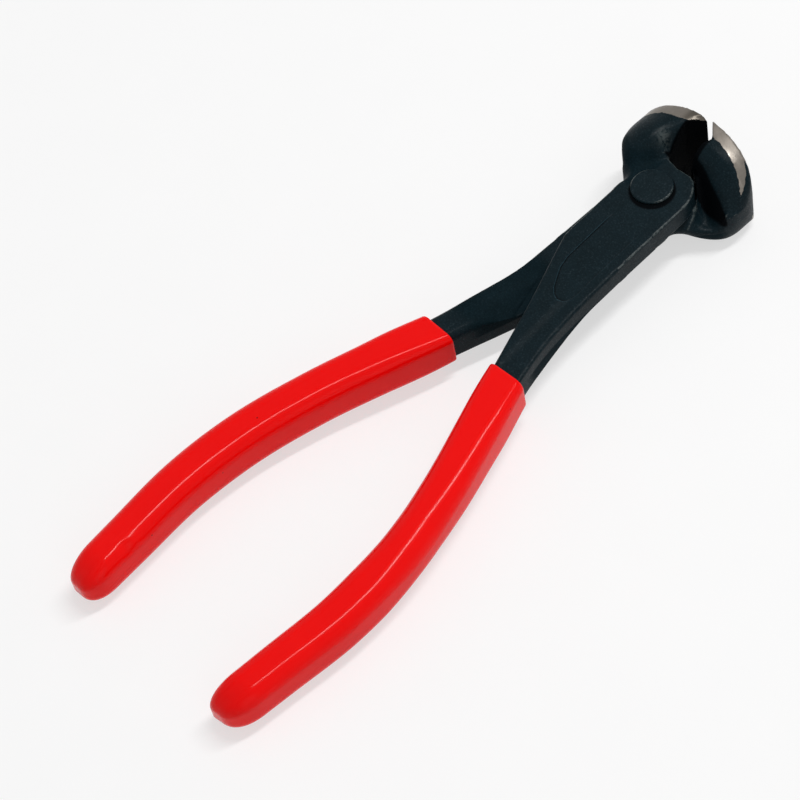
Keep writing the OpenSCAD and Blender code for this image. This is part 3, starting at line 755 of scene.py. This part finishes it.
def head_profile():
    """From the rim of the head at its base, over a rounded edge, to the middle of a domed face."""
    face_radius, shoulder = HEAD_RADIUS - HEAD_EDGE, HEAD_TOP - HEAD_DOME
    out = [(HEAD_RADIUS, HEAD_BASE)]
    for a in np.linspace(0, math.pi / 2, 9):
        out.append((face_radius + HEAD_EDGE * math.cos(a), shoulder - HEAD_EDGE + HEAD_EDGE * math.sin(a)))
    return out + [(face_radius * s, HEAD_TOP - HEAD_DOME * s * s) for s in np.linspace(0.9, 0.02, 12)]


upper = head_profile()
lower = [(r, -z) for r, z in reversed(upper)]
pin = [(PIN_RADIUS, -HEAD_BASE), (PIN_RADIUS, HEAD_BASE)]
points, faces = turned(lower + pin + upper, RIVET_STEPS)
rivet = piece("pressed_rivet", points, faces, RIVET_STEEL, "front", "rivet")
# A painted highlight on the rim of the head, on its two sides, drawn as wear
from_axis = np.hypot(points[:, 0], points[:, 1] - RIVET_Y)
on_face = np.abs(points[:, 2]) > 6.5
paint(rivet.data, "wear", 0.6 * step(from_axis, 5.2, 5.4) * on_face
      * step(np.abs(points[:, 0]) / from_axis, 0.7, 0.95))

# %% [markdown]
# ## The grips
# Each grip is one continuous skin of vinyl over the forged handle. Its section is a
# rounded rectangle. The dip hangs and sets last at the end, so the tip is full low and
# to the left, and rounds away early above and to the right. At the mouth the vinyl ends
# in a soft lip that lies on the steel. The skin is lofted from closely spaced rings.

# %% Sizes of the grips
GRIP_START = {"front": 65.6, "rear": 66.8}
GRIP_PLACES = np.array([0.37, 0.43, 0.5, 0.73, 0.97]) * HANDLE_REACH
GRIP_HALF_WIDTHS = np.array([0.97, 1.0, 0.985, 1.0, 0.92]) * 11.5 / 2
GRIP_HALF_HEIGHTS = np.array([0.86, 0.97, 1, 1, 0.97]) * 12.9 / 2
# Radius of the long edges, from the mouth down: sharp at the mouth, where the vinyl is thin over the steel
CORNER_PLACES = np.array([0, 6, 18, 34, 44, 54, 66, 112])
CORNERS = {"front": np.array([2.6, 3.0, 3.8, 4.6, 5.2, 5.0, 4.0, 3.9]),
           "rear": np.array([2.4, 2.8, 3.6, 3.9, 3.9, 3.9, 3.9, 3.9])}
# The mouth, from inside out over the lip: depth down the handle, and inset from the skin
MOUTH = ((3.0, 1.25), (0.9, 1.25), (0.35, 1.1), (0.12, 0.85), (0.0, 0.55), (0.03, 0.3), (0.2, 0.1))
# The tip: its length, the radius of its edges, and how sharply each side of it rounds away
TIP, TIP_CORNER = 8.8, 3.9
TIP_FULL, TIP_EARLY, TIP_ABOVE = 5.5, 2.2, 1.7
TIP_ROLL = 1.5
THINNEST = 0.02
# A wrinkle set into the vinyl near the end of the rear grip: a dent and a ridge, as place, depth and width
WRINKLE = ((164, 0.4, 1.3), (161.2, -0.25, 1.1))
SECTION_STEPS, FLAT_STEPS, BODY_RINGS, TIP_RINGS = 16, 4, 150, 40


def rounded_section(half_width, half_height, radii):
    """Points round a rectangle with a radius for each corner, and extra points along its flats."""
    radii = [min(r, half_width * 0.98, half_height * 0.98) for r in radii]
    arcs = []
    for (cx, cz), start, r in zip(((1, 1), (-1, 1), (-1, -1), (1, -1)), (0, 90, 180, 270), radii):
        a = np.radians(start + np.linspace(0, 90, SECTION_STEPS + 1))
        arcs.append(np.stack([cx * (half_width - r) + r * np.cos(a), cz * (half_height - r) + r * np.sin(a)], -1))
    out = []
    t = (np.arange(1, FLAT_STEPS + 1) / (FLAT_STEPS + 1))[:, None]
    for k, arc in enumerate(arcs):
        out += [arc, arc[-1] * (1 - t) + arcs[(k + 1) % 4][0] * t]
    return np.concatenate(out)


def wrinkled(section, reach, width, height):
    """A section with the wrinkle in its low left edge."""
    dent = sum(depth * math.exp(-((reach - place) / spread) ** 2) for place, depth, spread in WRINKLE)
    ridge = np.exp(-(((section[:, 0] + width - 1.6) / 1.4) ** 2 + ((section[:, 1] + height - 1.6) / 1.4) ** 2))
    return section * (1 - dent * ridge / 6)[:, None]


def ring(side, reach, width, height, radius, low_left=None):
    """One ring of the skin. Low and left is the third corner of the front grip, and the first of the rear one."""
    radii = [radius] * 4
    if low_left is not None:
        radii[2 if side == "front" else 0] = low_left
    section = rounded_section(width, height, radii)
    if side == "rear":
        section = wrinkled(section, reach, width, height)
    return np.stack([float(line_x(reach)) + section[:, 0], np.full(len(section), -reach), section[:, 1]], -1)


def grip_size(reach):
    """Half-width, measured across the slanting handle, and half-height."""
    here = min(reach, HANDLE_REACH - 2)
    slope = (line_x(here + 1) - line_x(here - 1)) / 2
    width = float(smooth_curve(GRIP_PLACES, GRIP_HALF_WIDTHS, reach))
    return width * math.hypot(1, float(slope)), float(smooth_curve(GRIP_PLACES, GRIP_HALF_HEIGHTS, reach))


def rounding(t, power):
    """How much of the width is left at a share t of the tip. A high power rounds away late."""
    return max(0.0, 1 - t ** power) ** (1 / power)


print("points in a ring of the grip:", len(rounded_section(5.7, 6.4, [3.9] * 4)))

# %% Dip the grips
def grip_rings(side):
    """All the rings of a grip, from inside the mouth to the tip."""
    start, body_end = GRIP_START[side], HANDLE_REACH - TIP

    def corner(reach):
        return float(np.interp(reach - start, CORNER_PLACES, CORNERS[side]))

    w, h = grip_size(start)
    rings = [ring(side, start + depth, w - inset, h - inset, max(0.3, corner(start) - inset))
             for depth, inset in MOUTH]
    for reach in np.linspace(start + 0.5, body_end, BODY_RINGS):
        rings.append(ring(side, reach, *grip_size(reach), corner(reach)))
    down = left = -1 if side == "front" else 1
    for a in np.linspace(0, 90, TIP_RINGS + 1)[1:]:
        t = math.sin(math.radians(a))
        reach = body_end + TIP * t
        w, h = grip_size(reach)
        full, early, above = rounding(t, TIP_FULL), rounding(t, TIP_EARLY), rounding(t, TIP_ABOVE)
        across, half = max(THINNEST, (full + early) / 2), max(THINNEST, (above + full) / 2)
        radius = TIP_CORNER * min(across, half)
        section = ring(side, reach, w * across, h * half, radius, radius * (1 - 0.6 * min(1, t / 0.5)))
        # The tip rolls a little, and its middle moves towards the full sides
        section[:, 2] += down * TIP_ROLL * t ** 3 * left * (section[:, 0] - float(line_x(reach))) / w
        section += (left * w * (full - early) / 2, 0, down * h * (full - above) / 2)
        rings.append(section)
    return rings


for side in ("front", "rear"):
    points, faces = loft(grip_rings(side))
    piece(side + "_dipped_grip", placed(points, side), faces, VINYL, side, side + "_grip")

# %% [markdown]
# ## Floor
# The tool lies on its head and on its grips. The head is thicker than the grips, so the
# floor under it is tipped by about 1.4 degrees against the model's frame. It is a sheet
# of white sweep paper: white to the camera, and still taking the object's shadow.

# %% Floor
FIBRE = 3 * MM
PAPER_GLOW = 0.6
# How far below the middle plane the tool touches the floor, and where: at the head, and near the tips
HEAD_BELOW, TIPS_BELOW = 12.5, 8.0
HEAD_Y, TIPS_Y = 90, -95
FLOOR_HALF, FLOOR_GAP = 3.0, 0.0001


def seen_white(m):
    """1 where the camera sees a surface itself, or in a mirror, or through glass. 0 for light that bounces."""
    path = add(m, "ShaderNodeLightPath")
    mirrored = add(m, "ShaderNodeMath", {0: path.outputs["Is Glossy Ray"], 1: path.outputs["Is Transmission Ray"]},
                   operation="MAXIMUM")
    return add(m, "ShaderNodeMath", {0: path.outputs["Is Camera Ray"], 1: mirrored.outputs[0]},
               operation="MAXIMUM").outputs[0]


def sweep_paper():
    """White studio paper. The light that it throws back is as grey as a card's."""
    m = material("white_sweep_paper")
    fibre = add(m, "ShaderNodeTexNoise", {"Scale": 1 / FIBRE, "Detail": 3.0})
    tone = add(m, "ShaderNodeMix", {"Factor": fibre.outputs["Fac"], "A": colour("#f6f6f6"),
                                    "B": colour("#fafafa")}, data_type="RGBA")
    seen = seen_white(m)
    paper_tone = add(m, "ShaderNodeMix", {"Factor": seen, "A": colour("#eeeeee"), "B": tone.outputs["Result"]},
                     data_type="RGBA")
    paper = add(m, "ShaderNodeBsdfPrincipled", {"Base Color": paper_tone.outputs["Result"], "Roughness": 0.9})
    glow = add(m, "ShaderNodeEmission", {"Color": colour("#ffffff"), "Strength": 1.0})
    share = add(m, "ShaderNodeMath", {0: seen, 1: PAPER_GLOW}, operation="MULTIPLY")
    both = add(m, "ShaderNodeMixShader", {0: share.outputs[0], 1: paper.outputs[0], 2: glow.outputs[0]})
    add(m, "ShaderNodeOutputMaterial", {"Surface": both.outputs[0]})
    return m


floor_mesh = bpy.data.meshes.new("floor")
floor_mesh.from_pydata([(FLOOR_HALF * a, FLOOR_HALF * b, 0) for a, b in ((-1, -1), (1, -1), (1, 1), (-1, 1))],
                       [], [(0, 1, 2, 3)])
floor_mesh.materials.append(sweep_paper())
floor = bpy.data.objects.new("floor", floor_mesh)
scene.collection.objects.link(floor)
tilt = math.atan2(HEAD_BELOW - TIPS_BELOW, HEAD_Y - TIPS_Y)
floor.location = (0, HEAD_Y * MM, min(CAD_BOX[0][2], -HEAD_BELOW * MM) - FLOOR_GAP)
floor.rotation_euler = (-tilt, 0, 0)
print("floor tipped by", round(math.degrees(tilt), 2), "degrees")

# %% [markdown]
# ## Light
# The room is an even, soft white. Past the paper, the camera and glossy surfaces see a
# brighter, pale backdrop. A long, narrow softbox stands high beyond the head, and a weak
# square one fills from the side that faces the camera. One small lamp would be simpler,
# but gives hard shadows and small, hot spots.

# %% Light
ROOM_STRENGTH = 0.38
world = bpy.data.worlds.new("studio")
scene.world = world
world.use_nodes = True
world.node_tree.nodes.clear()
room = add(world, "ShaderNodeBackground", {"Color": colour("#ffffff"), "Strength": ROOM_STRENGTH})
backdrop = add(world, "ShaderNodeBackground", {"Strength": 1.0})
sky = add(world, "ShaderNodeMixShader", {0: seen_white(world), 1: room.outputs[0], 2: backdrop.outputs[0]})
add(world, "ShaderNodeOutputWorld", {"Surface": sky.outputs[0]})
print("room", ROOM_STRENGTH, "and backdrop", [round(c, 2) for c in backdrop.inputs["Color"].default_value[:3]])


def softbox(name, place, width, height, watts):
    """A rectangular lamp at a place in metres, turned towards the middle of the tool."""
    lamp = bpy.data.lights.new(name, "AREA")
    lamp.shape, lamp.size, lamp.size_y, lamp.energy = "RECTANGLE", width, height, watts
    ob = bpy.data.objects.new(name, lamp)
    scene.collection.objects.link(ob)
    ob.location = place
    ob.rotation_mode = "QUATERNION"
    ob.rotation_quaternion = (-Vector(place)).to_track_quat("-Z", "Y")
    print(name, width, "x", height, "m,", watts, "W,", round(Vector(place).length, 2), "m away")


softbox("key_softbox", (0.14, 0.46, 1.15), 0.09, 0.80, 9.4)
softbox("side_softbox", (0.95, -0.45, 0.50), 0.8, 0.8, 1.0)

# %% [markdown]
# ## Camera
# The camera stands where the photographer's stood: its place was worked out from points
# on the tool, and it is kept in millimetres from the rivet, with the turn as a quaternion.

# %% Camera
CAMERA_FROM_RIVET = (336.192, -307.654, 582.714)
CAMERA_TURN = (0.8859673, 0.2449087, 0.1739157, 0.3533199)
SENSOR_WIDTH, FOCAL_LENGTH = 36, 127.695
NEAREST, FARTHEST = 0.01, 20
camera_data = bpy.data.cameras.new("camera")
camera_data.sensor_width, camera_data.lens = SENSOR_WIDTH, FOCAL_LENGTH
camera_data.clip_start, camera_data.clip_end = NEAREST, FARTHEST
camera = bpy.data.objects.new("camera", camera_data)
scene.collection.objects.link(camera)
camera.location = Vector(CAMERA_FROM_RIVET) * MM + Vector((0, RIVET_Y, 0)) * MM
camera.rotation_mode = "QUATERNION"
camera.rotation_quaternion = CAMERA_TURN
scene.camera = camera
scene.view_settings.view_transform = "Standard"
print("camera", round(camera.location.length, 2), "m from the middle of the tool")
